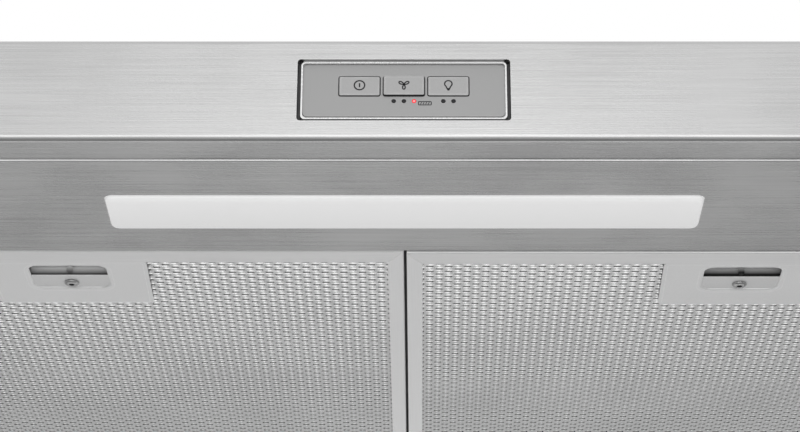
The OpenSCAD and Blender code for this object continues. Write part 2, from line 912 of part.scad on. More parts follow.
// Flat slide with a finger hole, a handle lip, a slot round the rivet and a bolt that passes the light panel's
// flange
module latch_slider() {
    y0 = y_filter + 4;
    difference() {
        box([-26, y0, slider_z], [26, slider_rear, slider_z + slider_t]);
        box([-20.9, window_y0 - 0.8, 0], [20.9, handle_y, 9]);
        translate([0, rivet_y - (latch_travel + gap) / 2, 0]) rotate([0, 0, 90])
            along_z(0, 9) slot(latch_travel + gap + 2 * rivet_r + 0.4, rivet_r + 0.2);
    }
    box([-20, handle_y, slider_z], [20, handle_y + 1.2, 6.6]);
    box([-6, slider_rear - 1, slider_z], [6, slider_rear, 6.4]);
    box([-bolt_w / 2, y0, slider_z], [bolt_w / 2, y0 + 9, bolt_z + bolt_t]);
    box([-bolt_w / 2, y_filter - bolt_out, bolt_z], [bolt_w / 2, y0 + 1, bolt_z + bolt_t]);
}

module latch_rivet() {
    difference() {
        translate([0, rivet_y, -0.6]) {
            cylinder(h = 1.4, r = rivet_head_r);
            cylinder(h = roof_z + 0.6, r = rivet_r);
        }
        translate([0, rivet_y, -1]) cylinder(h = 1.2, r = 1.5);
    }
}

// Ring of a helix at step i, as points about its wire
function helix_ring(i, turns, n, r, wire_r, l) =
    let (a = 360 * turns * i / n, c = [r * cos(a), l * i / n, r * sin(a)], out = [cos(a), 0, sin(a)])
    [for (k = [0 : 5]) c + wire_r * cos(60 * k) * out + wire_r * sin(60 * k) * [0, 1, 0]];

// Compression spring along Y, of radius r and length l
module helix(r, wire_r, l, turns) {
    n = turns * 12;
    points = [for (i = [0 : n]) each helix_ring(i, turns, n, r, wire_r, l)];
    sides = [for (i = [0 : n - 1], k = [0 : 5])
        [6 * i + k, 6 * i + (k + 1) % 6, 6 * i + 6 + (k + 1) % 6, 6 * i + 6 + k]];
    polyhedron(points, concat(sides, [[5, 4, 3, 2, 1, 0]], [[for (k = [0 : 5]) 6 * n + k]]));
}

module latch_spring() {
    l = cup_rear - slider_rear;
    translate([0, slider_rear + 0.45, 4.2]) helix(2.1, 0.35, l - 0.9, 6);
}

module filter_frame_left() {
    color("lightgray") at_left() filter_frame();
}

module filter_mesh_left() {
    color("gainsboro") at_left() filter_mesh();
}

module filter_pad_left() {
    color("gray") at_left() filter_pad();
}

module latch_plate_left() {
    color("lightgray") at_left() latch_plate();
}

module latch_slider_left() {
    color("whitesmoke") at_left() latch_slider();
}

module latch_spring_left() {
    color("dimgray") at_left() latch_spring();
}

module latch_rivet_left() {
    color("gray") at_left() latch_rivet();
}

module filter_frame_right() {
    color("lightgray") at_right() filter_frame();
}

module filter_mesh_right() {
    color("gainsboro") at_right() filter_mesh();
}

module filter_pad_right() {
    color("gray") at_right() filter_pad();
}

module latch_plate_right() {
    color("lightgray") at_right() latch_plate();
}

module latch_slider_right() {
    color("whitesmoke") at_right() latch_slider();
}

module latch_spring_right() {
    color("dimgray") at_right() latch_spring();
}

module latch_rivet_right() {
    color("gray") at_right() latch_rivet();
}

canopy_front();
top_panel();
back_panel();
side_panel_left();
side_panel_right();
light_panel();
side_rail_left();
side_rail_right();
rear_rail();
centre_divider();
rear_duct_blank();
panel_screws();
control_tray();
control_face();
control_board();
tact_switches();
indicator_lenses();
filter_indicator();
button_power();
button_fan();
button_light();
light_lens();
lamp_tray();
led_board();
led_driver();
blower_housing_left();
blower_housing_right();
inlet_ring_left();
inlet_ring_right();
motor_bracket();
motor_case();
motor_bearings();
run_capacitor();
fan_wheel_left();
fan_wheel_right();
motor_shaft();
duct_collar();
damper_flap();
damper_pin();
junction_box();
junction_cover();
terminal_block();
ground_screw();
wiring_harness();
filter_frame_left();
filter_mesh_left();
filter_pad_left();
latch_plate_left();
latch_slider_left();
latch_spring_left();
latch_rivet_left();
filter_frame_right();
filter_mesh_right();
filter_pad_right();
latch_plate_right();
latch_slider_right();
latch_spring_right();
latch_rivet_right();
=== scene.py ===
import json
import math

import bpy
import numpy as np
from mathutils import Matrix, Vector
from mathutils.geometry import tessellate_polygon


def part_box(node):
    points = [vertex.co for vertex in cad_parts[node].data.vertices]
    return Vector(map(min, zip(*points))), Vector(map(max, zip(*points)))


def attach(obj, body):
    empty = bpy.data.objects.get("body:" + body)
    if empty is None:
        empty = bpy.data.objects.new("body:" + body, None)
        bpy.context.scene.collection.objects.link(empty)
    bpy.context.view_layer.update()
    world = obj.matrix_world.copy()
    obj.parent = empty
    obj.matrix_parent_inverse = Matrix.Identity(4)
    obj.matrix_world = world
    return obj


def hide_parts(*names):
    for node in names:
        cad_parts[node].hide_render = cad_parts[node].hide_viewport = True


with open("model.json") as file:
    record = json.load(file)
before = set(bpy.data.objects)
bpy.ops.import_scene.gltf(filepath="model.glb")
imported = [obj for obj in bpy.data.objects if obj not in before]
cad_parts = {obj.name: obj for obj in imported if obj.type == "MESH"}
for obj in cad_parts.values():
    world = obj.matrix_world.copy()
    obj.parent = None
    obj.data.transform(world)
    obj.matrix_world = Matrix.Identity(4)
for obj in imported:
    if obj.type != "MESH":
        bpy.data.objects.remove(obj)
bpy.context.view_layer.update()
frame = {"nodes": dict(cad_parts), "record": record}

MM = 0.001
NODES = frame["nodes"]
SLOT_OF = {p["node"]: p["material_slot"] for p in frame["record"]["subparts"]}
SIDES = ("left", "right")


def mm_box(node):
    """Lowest and highest corner of a CAD node, in millimetres."""
    lo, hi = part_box(node)
    return np.array(lo) / MM, np.array(hi) / MM


# ---- Materials ----

def node(tree, kind, inputs=(), **settings):
    """A shader node; inputs maps a socket to a value or to another node's output."""
    made = tree.nodes.new(kind)
    for key, value in settings.items():
        setattr(made, key, value)
    for key, value in dict(inputs).items():
        if isinstance(value, bpy.types.NodeSocket):
            tree.links.new(value, made.inputs[key])
        else:
            made.inputs[key].default_value = value
    return made


def position(tree):
    """Position in the row frame, in metres."""
    return node(tree, "ShaderNodeTexCoord").outputs["Object"]


def even(cycles):
    """The same number of cycles per metre along each axis."""
    return (cycles, cycles, cycles)


def noise(tree, stretch, detail=3.0, roughness=0.55):
    """Noise in the row frame, whose size along each axis is set by stretch (cycles per metre)."""
    place = node(tree, "ShaderNodeMapping", {"Vector": position(tree), "Scale": stretch})
    made = node(tree, "ShaderNodeTexNoise", {"Vector": place.outputs["Vector"], "Scale": 1.0,
                                             "Detail": detail, "Roughness": roughness})
    return made.outputs["Fac"]


def spread(tree, value, low, high, start=0.3, end=0.7):
    """Value mapped from start..end to low..high."""
    return node(tree, "ShaderNodeMapRange", {"Value": value, "From Min": start, "From Max": end,
                                             "To Min": low, "To Max": high}).outputs["Result"]


def maths(tree, operation, a, b):
    return node(tree, "ShaderNodeMath", {0: a, 1: b}, operation=operation).outputs["Value"]


def set_mix(tree, factor, a, b):
    """Colour a where factor is 0 and b where it is 1."""
    made = tree.nodes.new("ShaderNodeMix")
    made.data_type = "RGBA"
    for index, value in ((0, factor), (6, a), (7, b)):
        if isinstance(value, bpy.types.NodeSocket):
            tree.links.new(value, made.inputs[index])
        else:
            made.inputs[index].default_value = value
    return made.outputs[2]


def grey(level, tint=(1.0, 1.0, 1.0)):
    return (level * tint[0], level * tint[1], level * tint[2], 1.0)


# Cycles per metre of the blotches and of the uneven wear, and the width of a worn edge in metres.
BLOTCH = even(14)
WEAR_GRAIN = even(260)
WEAR_RADIUS = 0.0007


def surface(name, color, roughness, metallic, grain, contrast, vary, bump, wear=0.0, extra=None,
            sockets=()):
    """A procedural material: grain and larger blotches in its colour and roughness, bump, and paler worn
    edges. contrast and vary are how far the grain moves the colour and the roughness."""
    mat = bpy.data.materials.new(name)
    mat.use_nodes = True
    tree = mat.node_tree
    shader = tree.nodes["Principled BSDF"]
    shader.inputs["Metallic"].default_value = metallic
    for key, value in dict(sockets).items():
        shader.inputs[key].default_value = value
    fine = noise(tree, grain)
    broad = noise(tree, BLOTCH, 2.0)
    tone = maths(tree, "ADD", spread(tree, fine, -0.7, 0.7), spread(tree, broad, -0.3, 0.3))
    factor = spread(tree, tone, 0.0, 1.0, -1.0, 1.0)
    dark = tuple(c * (1 - contrast) for c in color[:3]) + (1.0,)
    pale = tuple(min(1.0, c * (1 + contrast)) for c in color[:3]) + (1.0,)
    paint = set_mix(tree, factor, dark, pale)
    if extra is not None:
        paint = extra(tree, paint)
    uneven = maths(tree, "ADD", fine, spread(tree, broad, -0.2, 0.2))
    rough = spread(tree, uneven, roughness - vary, roughness + vary)
    if wear > 0:
        rounded = node(tree, "ShaderNodeBevel", {"Radius": WEAR_RADIUS}, samples=4)
        normals = {0: rounded.outputs["Normal"], 1: node(tree, "ShaderNodeNewGeometry").outputs["Normal"]}
        agree = node(tree, "ShaderNodeVectorMath", normals, operation="DOT_PRODUCT").outputs["Value"]
        edge = maths(tree, "MULTIPLY", spread(tree, agree, 1.0, 0.0, 0.86, 0.995),
                     spread(tree, noise(tree, WEAR_GRAIN), 0.2, 1.0, 0.35, 0.65))
        worn = tuple(min(1.0, c * (1 + wear)) for c in color[:3]) + (1.0,)
        paint = set_mix(tree, edge, paint, worn)
    tree.links.new(paint, shader.inputs["Base Color"])
    tree.links.new(rough, shader.inputs["Roughness"])
    if bump > 0:
        relief = node(tree, "ShaderNodeBump", {"Height": fine, "Strength": bump, "Distance": 0.0005})
        tree.links.new(relief.outputs["Normal"], shader.inputs["Normal"])
    return mat


def brushed_lines(tree, paint):
    """Long faint brush marks along X over a steel colour."""
    streak = noise(tree, (9, 620, 620), 4.0, 0.7)
    return set_mix(tree, spread(tree, streak, 0.0, 0.30, 0.40, 0.70), paint, grey(0.42))


def spangle(tree, paint):
    """Crystals of a zinc coat."""
    cells = node(tree, "ShaderNodeTexVoronoi", {"Vector": position(tree), "Scale": 120.0})
    tint = node(tree, "ShaderNodeSeparateColor", {"Color": cells.outputs["Color"]}).outputs["Red"]
    return set_mix(tree, spread(tree, tint, 0.0, 0.3, 0.0, 1.0), paint, grey(0.42, (0.97, 1.0, 1.03)))


def deep_shade(tree, paint):
    """Nearly black at the mouth of the latch recess, paler towards its roof."""
    height = node(tree, "ShaderNodeSeparateXYZ", {"Vector": position(tree)}).outputs["Z"]
    depth = spread(tree, height, 1.0, 0.0, SLIDE_Z + 0.0007, SLIDE_Z + 0.0042)
    return set_mix(tree, depth, paint, grey(0.006))


def lamp_shadows_and_rear_shade(tree, paint):
    """Painted shade: faint shadows of two rows of lamps behind a frosted lens, and the lens painted darker
    to the rear.
    """
    place = node(tree, "ShaderNodeSeparateXYZ", {"Vector": position(tree)})
    turn = maths(tree, "MULTIPLY", place.outputs["X"], 2 * math.pi / LAMP_PITCH)
    along = spread(tree, maths(tree, "SINE", turn, 0.0), 0.0, 1.0, 0.55, 0.95)
    aside = maths(tree, "ABSOLUTE", maths(tree, "SUBTRACT", place.outputs["Y"], LENS_Y), 0.0)
    off_row = maths(tree, "ABSOLUTE", maths(tree, "SUBTRACT", aside, LAMP_ROW), 0.0)
    across = spread(tree, off_row, 0.06, 0.0, 0.0002, 0.0009)
    marked = set_mix(tree, maths(tree, "MULTIPLY", along, across), paint, grey(0.25))
    # Painted shade: the lens gets darker towards its rear.
    rearwards = spread(tree, place.outputs["Y"], 0.0, 0.5, LENS_Y - 0.0165, LENS_Y + 0.0155)
    return set_mix(tree, rearwards, marked, grey(0.52))


# In metres: the underside of the latch slides, the middle of the lens, and the spacing of its lamps.
SLIDE_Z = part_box("latch_slider_left")[0][2]
LENS_Y = sum(corner[1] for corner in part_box("light_lens")) / 2
LAMP_PITCH = 0.029
LAMP_ROW = 0.0112
STEEL = (0.525, 0.525, 0.525)
UNDER = (0.53, 0.53, 0.53)
ZINC = (0.60, 0.61, 0.62)

MATERIALS = {
    "stainless": surface(
        "stainless", STEEL, 0.28, 1.0, (14, 2600, 2600), 0.10, 0.05, 0.08, wear=0.25, extra=brushed_lines),
    "stainless_under": surface(
        "stainless_under", UNDER, 0.28, 1.0,
        (14, 2600, 2600), 0.12, 0.05, 0.08, wear=0.25, extra=brushed_lines),
    "galvanised": surface(
        "galvanised", ZINC, 0.42, 0.9, even(420), 0.07, 0.08, 0.03, wear=0.2, extra=spangle),
    "screw_steel": surface("screw_steel", (0.62, 0.61, 0.59), 0.32, 1.0, even(1500), 0.10, 0.10, 0.06),
    "control_silver": surface(
        "control_silver", (0.74, 0.74, 0.74), 0.26, 0.55, even(1600), 0.05, 0.06, 0.02, wear=0.2),
    "control_grey": surface(
        "control_grey", (0.335, 0.335, 0.335), 0.42, 0.35, even(3200), 0.10, 0.08, 0.05, wear=0.3),
    "button_grey": surface(
        "button_grey", (0.37, 0.37, 0.37), 0.40, 0.35, even(3200), 0.10, 0.08, 0.05, wear=0.3),
    "lens_black": surface(
        "lens_black", (0.02, 0.02, 0.022), 0.42, 0.0,
        even(1500), 0.2, 0.05, 0.01, sockets={"Specular IOR Level": 0.2}),
    "lens_frosted": surface(
        "lens_frosted", (0.84, 0.84, 0.84), 0.34, 0.0,
        even(2400), 0.03, 0.10, 0.05, extra=lamp_shadows_and_rear_shade,
        sockets={"Emission Color": (1.0, 1.0, 1.0, 1.0), "Emission Strength": 0.30}),
    "led_white": surface("led_white", (0.85, 0.85, 0.82), 0.45, 0.0, even(700), 0.05, 0.08, 0.02),
    "board_green": surface("board_green", (0.03, 0.20, 0.08), 0.35, 0.0, even(500), 0.25, 0.10, 0.05),
    "black_plastic": surface(
        "black_plastic", (0.035, 0.035, 0.037), 0.45, 0.0, even(2200), 0.2, 0.08, 0.08),
    "white_plastic": surface("white_plastic", (0.80, 0.80, 0.77), 0.42, 0.0, even(1800), 0.05, 0.08, 0.05),
    "blower_black": surface(
        "blower_black", (0.05, 0.05, 0.053), 0.48, 0.0, even(1400), 0.25, 0.10, 0.08, wear=0.8),
    "motor_grey": surface(
        "motor_grey", (0.20, 0.21, 0.22), 0.40, 0.3, even(900), 0.12, 0.10, 0.10, wear=0.8),
    "bearing_steel": surface(
        "bearing_steel", (0.72, 0.72, 0.71), 0.22, 1.0, (60, 1800, 1800), 0.08, 0.06, 0.04),
    "shaft_steel": surface("shaft_steel", (0.64, 0.64, 0.63), 0.28, 1.0, (1800, 40, 40), 0.08, 0.08, 0.06),
    "ivory_plastic": surface("ivory_plastic", (0.74, 0.69, 0.56), 0.30, 0.0, even(900), 0.05, 0.06, 0.02),
    "wire_black": surface("wire_black", (0.03, 0.03, 0.031), 0.55, 0.0, even(1300), 0.3, 0.10, 0.12),
    "ground_green": surface("ground_green", (0.03, 0.28, 0.08), 0.35, 0.7, even(1300), 0.15, 0.10, 0.06),
    "filter_aluminium": surface(
        "filter_aluminium", (0.84, 0.84, 0.84), 0.44, 0.5, (26, 2200, 2200), 0.06, 0.07, 0.05, wear=0.2),
    # The side strips: the frame's own aluminium, painted paler and less metallic than the end strips as a
    # highlight.
    "filter_rail_highlight": surface(
        "filter_rail_highlight", (1.0, 1.0, 1.0), 0.42, 0.0, (2200, 26, 2200), 0.05, 0.07, 0.05, wear=0.2),
    "mesh_aluminium": surface(
        "mesh_aluminium", (0.80, 0.80, 0.80), 0.24, 0.97, even(700), 0.04, 0.03, 0.02),
    # The inner layers are darker and duller than the face layer: partly grease, partly painted shade inside
    # the filter.
    "mesh_core": surface("mesh_core", (0.55, 0.55, 0.55), 0.5, 0.7, even(700), 0.1, 0.05, 0.03),
    "latch_grey": surface(
        "latch_grey", (0.85, 0.85, 0.85), 0.46, 0.5, even(1400), 0.04, 0.07, 0.03, wear=0.2),
    "slider_grey": surface(
        "slider_grey", (0.80, 0.80, 0.80), 0.40, 0.2, even(1800), 0.05, 0.07, 0.04, wear=0.25),
    "slider_recess": surface(
        "slider_recess", (1.0, 1.0, 1.0), 0.55, 0.1, even(1800), 0.05, 0.07, 0.04, extra=deep_shade),
    "rivet_steel": surface("rivet_steel", (0.42, 0.42, 0.42), 0.30, 1.0, even(1500), 0.10, 0.10, 0.06),
    "spring_steel": surface("spring_steel", (0.55, 0.54, 0.52), 0.30, 1.0, even(900), 0.10, 0.08, 0.03),
    "damper_aluminium": surface(
        "damper_aluminium", (0.70, 0.70, 0.70), 0.38, 0.9, (30, 1500, 1500), 0.08, 0.08, 0.05),
}


def lit_lens(name, centre, core, ring, strength):
    """A small lit lens, pale in the middle and coloured towards its rim."""
    mat = bpy.data.materials.new(name)
    mat.use_nodes = True
    tree = mat.node_tree
    shader = tree.nodes["Principled BSDF"]
    away = node(tree, "ShaderNodeVectorMath", {0: position(tree), 1: centre}, operation="DISTANCE")
    rim = spread(tree, away.outputs["Value"], 0.0, 1.0, 0.0001, 0.0007)
    ripple = spread(tree, noise(tree, even(2500)), -0.08, 0.08)
    paint = set_mix(tree, maths(tree, "ADD", rim, ripple), core, ring)
    tree.links.new(paint, shader.inputs["Base Color"])
    tree.links.new(paint, shader.inputs["Emission Color"])
    shader.inputs["Emission Strength"].default_value = strength
    shader.inputs["Roughness"].default_value = 0.25
    return mat


# ---- Mesh helpers ----

# In millimetres, but for the steps: vertices this close merge, and printed lines stand this far out.
MERGE = 1e-3
PRINT = 0.05
LATHE_STEPS = 40


class Shape:
    """Vertices in millimetres, faces, and a material number for each face."""

    def __init__(self):
        self.points = []
        self.faces = []
        self.paints = []

    def add(self, points, faces, paint=0):
        start = len(self.points)
        self.points.extend(tuple(float(c) for c in p) for p in points)
        self.faces.extend(tuple(start + i for i in f) for f in faces)
        self.paints.extend([paint] * len(faces))

    def loft(self, rings, closed=True, paint=0, flip=False):
        """Quads between rings of equal length."""
        count = len(rings[0])
        faces = []
        for r in range(len(rings) - 1):
            for k in range(count if closed else count - 1):
                a, b = r * count + k, r * count + (k + 1) % count
                quad = (a, b, b + count, a + count)
                faces.append(quad[::-1] if flip else quad)
        self.add([p for ring in rings for p in ring], faces, paint)

    def plate(self, loops, levels, place, paint=0, caps=(True, True)):
        """A plate with rounded rims. loops are 2-D outlines, the outer one first and anticlockwise and the
        holes after it and clockwise; levels are (inset, height) pairs from one face round the rim to the
        other; caps says which of the two faces to close."""
        for loop in loops:
            rings = []
            for inset, height in levels:
                rings.append([place(u, v, height) for u, v in offset(loop, inset)])
            self.loft(rings, True, paint, flip=True)
        for wanted, flip, (inset, height) in ((caps[0], True, levels[0]), (caps[1], False, levels[-1])):
            if wanted:
                self.fill([offset(loop, inset) for loop in loops],
                          lambda u, v, height=height: place(u, v, height), flip, paint)

    def fill(self, rings, place, flip=False, paint=0):
        """A flat face inside the first 2-D outline and outside the others, put in space by place."""
        flat = [[Vector((u, v, 0.0)) for u, v in ring] for ring in rings]
        points = [point for ring in flat for point in ring]
        faces = []
        for a, b, c in tessellate_polygon(flat):
            up = (points[b] - points[a]).cross(points[c] - points[a]).z
            if abs(up) > 1e-9:
                faces.append((a, b, c) if (up > 0) != flip else (a, c, b))
        self.add([place(u, v) for ring in rings for u, v in ring], faces, paint)

    def build(self, name, materials, body, smooth=35.0, replaces=()):
        """Make the Blender object: merged, smoothed below an angle, riding on a body."""
        points = np.array(self.points, float)
        keys = np.round(points / MERGE).astype(np.int64)
        _, first, back = np.unique(keys, axis=0, return_index=True, return_inverse=True)
        back = np.asarray(back).reshape(-1)
        faces, paints = [], []
        for face, paint in zip(self.faces, self.paints):
            ring = []
            for i in face:
                j = int(back[i])
                if not ring or ring[-1] != j:
                    ring.append(j)
            if len(ring) > 1 and ring[0] == ring[-1]:
                ring.pop()
            if len(set(ring)) > 2 and len(set(ring)) == len(ring):
                faces.append(ring)
                paints.append(paint)
        mesh = bpy.data.meshes.new(name)
        mesh.from_pydata((points[first] * MM).tolist(), [], faces)
        mesh.polygons.foreach_set("material_index", paints)
        finish_mesh(name, mesh, materials, body, smooth, replaces)


def finish_mesh(name, mesh, materials, body, smooth, replaces):
    """Smooth a mesh, give it its materials and its place on a body, and say which CAD nodes it replaces."""
    mesh.validate()
    mesh.polygons.foreach_set("use_smooth", [True] * len(mesh.polygons))
    mesh.update()
    mesh.set_sharp_from_angle(angle=math.radians(smooth))
    piece = bpy.data.objects.new(name, mesh)
    bpy.context.scene.collection.objects.link(piece)
    for slot_name in materials:
        mesh.materials.append(MATERIALS[slot_name])
    weighted = piece.modifiers.new("weighted", "WEIGHTED_NORMAL")
    weighted.keep_sharp = True
    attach(piece, body)
    if replaces:
        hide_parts(*replaces)


def offset(loop, inset):
    """A closed outline moved to its left by inset, which is inwards for an anticlockwise one."""
    if inset == 0:
        return [tuple(p) for p in loop]
    p = np.array(loop, float)
    ahead = np.roll(p, -1, axis=0) - p
    ahead /= np.linalg.norm(ahead, axis=1)[:, None]
    behind = np.roll(ahead, 1, axis=0)
    left_a = np.stack([-ahead[:, 1], ahead[:, 0]], axis=1)
    left_b = np.stack([-behind[:, 1], behind[:, 0]], axis=1)
    bisector = left_a + left_b
    bisector /= np.linalg.norm(bisector, axis=1)[:, None]
    scale = np.maximum(0.4, np.sum(bisector * left_a, axis=1))
    return [tuple(q) for q in p + bisector * (inset / scale)[:, None]]


def round_rect(x0, y0, x1, y1, radius, steps=6):
    """Anticlockwise outline of a rectangle with round corners."""
    out = []
    for cx, cy, start in ((x1 - radius, y1 - radius, 0), (x0 + radius, y1 - radius, 90),
                          (x0 + radius, y0 + radius, 180), (x1 - radius, y0 + radius, 270)):
        for i in range(steps + 1):
            a = math.radians(start + 90 * i / steps)
            out.append((cx + radius * math.cos(a), cy + radius * math.sin(a)))
    return out


def round_corners(points, radius, steps=4):
    """An anticlockwise convex outline with each corner rounded."""
    out, count = [], len(points)
    for i in range(count):
        p, q, r = (np.array(points[(i + k) % count], float) for k in (-1, 0, 1))
        a, b = (p - q) / np.linalg.norm(p - q), (r - q) / np.linalg.norm(r - q)
        start, end = q + radius * a, q + radius * b
        for t in np.linspace(0, 1, steps + 1):
            out.append(tuple((1 - t) ** 2 * start + 2 * t * (1 - t) * q + t * t * end))
    return out


def circle(cx, cy, radius, steps):
    angles = [2 * math.pi * i / steps for i in range(steps)]
    return [(cx + radius * math.cos(a), cy + radius * math.sin(a)) for a in angles]


def rim(radius, thickness, steps=3, guard=0.5):
    """Levels of a plate from height 0 to thickness with both rims rounded."""
    angles = [math.pi / 2 * i / steps for i in range(steps + 1)]
    arc = [(radius - radius * math.sin(a), radius - radius * math.cos(a)) for a in angles]
    up = [(radius + guard, 0.0)] + arc
    return up + [(inset, thickness - height) for inset, height in reversed(up)]


def facing_down(z0):
    """Places a plate whose first face looks down, at height z0."""
    return lambda u, v, h: (u, v, z0 + h)


def facing_front(y0):
    """Places a plate whose first face looks to the front, at depth y0; its v is the height."""
    return lambda u, v, h: (u, y0 + h, v)


def box_into(shape, lo, hi, edge):
    """A box with rounded edges along Z and softened rims."""
    (x0, y0, z0), (x1, y1, z1) = lo, hi
    corner = min(edge, 0.45 * min(x1 - x0, y1 - y0))
    levels = rim(min(edge, 0.3 * (z1 - z0)), z1 - z0, 2, 0.05)
    shape.plate([round_rect(x0, y0, x1, y1, corner, 3)], levels, facing_down(z0))


def extrude_x(shape, outline, x0, x1, paint=0):
    """A closed outline in Y and Z swept along X, with capped ends."""
    shape.loft([[(x, y, z) for y, z in outline] for x in (x0, x1)], True, paint, flip=False)
    for x, flip in ((x0, True), (x1, False)):
        shape.fill([outline], lambda y, z, x=x: (x, y, z), flip, paint)


def lathe(shape, profile, centre, paint=0):
    """A profile of (radius, height) turned about a vertical axis."""
    cx, cy, cz = centre
    rings = [[(x, y, cz + height) for x, y in circle(cx, cy, radius, LATHE_STEPS)]
             for radius, height in profile]
    shape.loft(rings, True, paint)


def stroke(shape, points, width, y, closed=False):
    """A printed line on the front, along points in X and Z, standing a hair proud of a face at y."""
    p = np.array(points, float)
    if closed:
        ahead = np.roll(p, -1, axis=0) - np.roll(p, 1, axis=0)
    else:
        ahead = np.gradient(p, axis=0)
    ahead /= np.linalg.norm(ahead, axis=1)[:, None]
    side = np.stack([-ahead[:, 1], ahead[:, 0]], axis=1) * width / 2
    left, right = p + side, p - side
    corners = ((left, y), (left, y - PRINT), (right, y - PRINT), (right, y), (left, y))
    rings = [[(q[0], depth, q[1]) for q in line] for line, depth in corners]
    for a, b in zip(rings[:-1], rings[1:]):
        shape.loft([a, b], closed)
    if not closed:
        for i, face in ((0, (0, 1, 2, 3)), (len(p) - 1, (3, 2, 1, 0))):
            shape.add([ring[i] for ring in rings[:4]], [face])


# ---- Controls ----

FRONT = mm_box("canopy_front")[0][1]
FACE_LO, FACE_HI = mm_box("control_face")
FACE_Y = FACE_LO[1]
BUTTONS = {name: mm_box(f"button_{name}") for name in ("power", "fan", "light")}
BUTTON_Z = sum(BUTTONS["power"][i][2] for i in (0, 1)) / 2
# A cap's height, how much narrower it is than the CAD's on each side, the width of the dark ring of
# painted shade round it, and a lamp's radius.
BUTTON_H = 10.1
BUTTON_TRIM = 0.25
SHADE_RING = 0.5
DOT_R = 1.0
DOT_Z = sum(mm_box("filter_indicator")[i][2] for i in (0, 1)) / 2
RED_X = sum(mm_box("filter_indicator")[i][0] for i in (0, 1)) / 2
DOTS_X = (-RED_X, 0.0, 18.6, 23.4)


def button_window(name, grow):
    """Outline of a button's cap, larger by grow on every side."""
    lo, hi = BUTTONS[name]
    reach = grow - BUTTON_TRIM
    half = BUTTON_H / 2 + grow
    return round_rect(lo[0] - reach, BUTTON_Z - half, hi[0] + reach, BUTTON_Z + half, 0.7 + grow, 4)


def control_face():
    """The grey face, with rounded rims at its outline and round each button and lamp."""
    shape = Shape()
    windows = [button_window(name, SHADE_RING)[::-1] for name in BUTTONS]
    holes = [circle(x, DOT_Z, DOT_R + 0.1, 24)[::-1] for x in (*DOTS_X, RED_X)]
    outline = round_rect(FACE_LO[0] - 0.2, FACE_LO[2], FACE_HI[0] + 0.2, FACE_HI[2] + 0.2, 2.4, 8)
    place = facing_front(FACE_Y)
    shape.plate([outline], [(0.7, 0.0), (0.18, 0.0), (0.06, 0.03), (0.0, 0.1), (0.0, 1.0)], place,
                caps=(False, False))
    for hole in windows + holes:
        shape.plate([hole], [(0.35, 0.0), (0.1, 0.0), (0.03, 0.03), (0.0, 0.1), (0.0, 1.0)], place,
                    caps=(False, False))
    rings = [offset(outline, 0.7)] + [offset(hole, 0.35) for hole in windows + holes]
    shape.fill(rings, lambda u, v: place(u, v, 0.0))
    shape.build("control_face_plate", ["control_grey"], "hood", replaces=["control_face"])


def button_gap_shades():
    """Dark rings round the buttons, a little behind the face: painted shade in the gaps round the caps."""
    shape = Shape()
    for name in BUTTONS:
        outer, inner = button_window(name, SHADE_RING), button_window(name, 0.06)
        shape.plate([outer, inner[::-1]], [(0.0, 0.0), (0.0, 0.55)], facing_front(FACE_Y + 0.4))
    shape.build("button_gap_shades", ["black_plastic"], "hood")


def tray_shade_strips():
    """Strips round the tray in the pressed pocket: black ones beside and below it are painted shade in the
    gaps, and a grey one above it is a painted reflection on the pocket's rolled top edge.
    """
    shape = Shape()
    side_z = (FACE_LO[2] - 2.2, FACE_HI[2] + 1.3)
    inner, outer = FACE_HI[0] + 1.12, FACE_HI[0] + 2.7
    for (x0, x1), (z0, z1), setback, soft, paint in (
            ((-outer, -inner), side_z, 3.4, 0.1, 0), ((inner, outer), side_z, 3.4, 0.1, 0),
            ((FACE_LO[0], FACE_HI[0]), (FACE_HI[2] + 1.0, FACE_HI[2] + 1.8), 1.6, 0.05, 1),
            ((FACE_LO[0], FACE_HI[0]), (FACE_LO[2] - 3.3, FACE_LO[2] - 2.1), 0.9, 0.05, 0)):
        shape.plate([round_rect(x0, z0, x1, z1, 0.3, 3)], rim(0.2, 2.0, 2, soft),
                    facing_front(FRONT + setback), paint)
    shape.build("tray_shade_strips", ["black_plastic", "control_grey"], "hood")


def button(name):
    """A grey cap on a black stem, which has a foot and a peg behind the face."""
    lo, hi = BUTTONS[name]
    shape = Shape()
    outline = button_window(name, 0.0)
    crown = [(0.7, 0.0), (0.3, 0.0), (0.1, 0.05), (0.02, 0.15), (0.0, 0.34)]
    shape.plate([outline], crown, facing_front(lo[1]), paint=0, caps=(True, False))
    foot_y, foot = FRONT + 8.2, 0.8
    shape.plate([outline], [(0.0, 0.34), (0.0, foot_y - lo[1])], facing_front(lo[1]), paint=1,
                caps=(False, True))
    shape.plate([round_rect(lo[0], lo[2], hi[0], hi[2], 0.5, 3)], [(0.0, 0.0), (0.0, foot)],
                facing_front(foot_y), paint=1)
    peg = circle((lo[0] + hi[0]) / 2, BUTTON_Z, 2.0, 24)
    shape.plate([peg], [(0.0, 0.0), (0.0, hi[1] - foot_y - foot)], facing_front(foot_y + foot), paint=1)
    shape.build(f"button_{name}_cap", ["button_grey", "black_plastic"], f"{name}_button",
                replaces=[f"button_{name}"])


